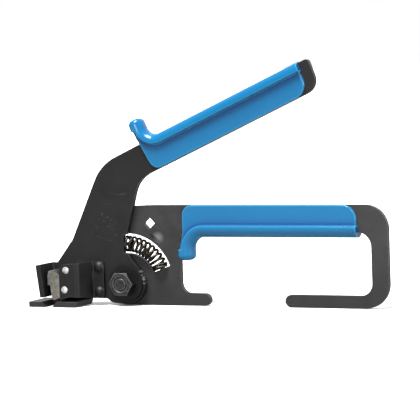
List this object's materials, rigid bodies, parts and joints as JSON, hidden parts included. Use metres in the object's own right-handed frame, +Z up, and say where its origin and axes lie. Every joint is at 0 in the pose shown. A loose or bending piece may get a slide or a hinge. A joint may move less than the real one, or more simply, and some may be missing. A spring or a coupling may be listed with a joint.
{
  "type": "strapping tensioner",
  "caption": "Hand tool that grips packaging strap between a nose flange and a sprung jaw, and pulls it up through a slotted foot when its two blue-sleeved handles are squeezed.",
  "frame": {"origin": "on the underside of the foot, beside the strap slot", "axes": "+X along the lower handle, away from the foot; +Z up, square to the foot; -Y is the side that the foot and nose are bent towards"},
  "size_m": [0.2178, 0.0289, 0.1393],
  "materials": {
    "blacked_steel_frame": "satin black oxide with worn edges",
    "blacked_steel_lever": "satin black oxide with worn edges",
    "blue_plastic": "moulded, semi-gloss",
    "dark_fastener": "oiled black",
    "bright_steel": "ground",
    "jaw_steel": "hardened, machined",
    "yellow_plate": "yellow passivated",
    "spring_steel": "dark drawn wire"
  },
  "bodies": {
    "frame": {"frame_plate": "blacked_steel_frame", "lower_grip": "blue_plastic", "pivot_bolt": "dark_fastener", "pivot_nut": "dark_fastener", "front_washer": "dark_fastener", "back_washer": "dark_fastener", "pivot_bush": "bright_steel", "gap_shim": "bright_steel", "return_spring": "spring_steel"},
    "lever": {"lever_plate": "blacked_steel_lever", "upper_grip": "blue_plastic", "jaw_bracket": "blacked_steel_lever", "bracket_rivets": "blacked_steel_lever", "jaw_pivot_pin": "bright_steel", "jaw_stop_pin": "bright_steel", "stop_pin_sleeve": "bright_steel", "jaw_spring": "spring_steel"},
    "jaw": {"gripper_jaw": "jaw_steel", "jaw_backing": "yellow_plate", "jaw_carrier": "jaw_steel", "jaw_screws": "bright_steel"}
  },
  "joints": [
    {"name": "lever_hinge", "type": "hinge", "parent": "frame", "child": "lever", "pos_m": [0.033, 0.008, 0.0129], "axis": [0, 1, 0], "range_deg": [0, 18.5], "stiffness_Nm_per_rad": 0.6, "springref_deg": -33.23, "deforming": ["return_spring"]},
    {"name": "jaw_hinge", "type": "hinge", "parent": "lever", "child": "jaw", "pos_m": [-0.0002, 0.0003, 0.0101], "axis": [0, 1, 0], "range_deg": [0, 15], "stiffness_Nm_per_rad": 0.028, "springref_deg": -20.63, "deforming": ["jaw_spring"]}
  ]
}
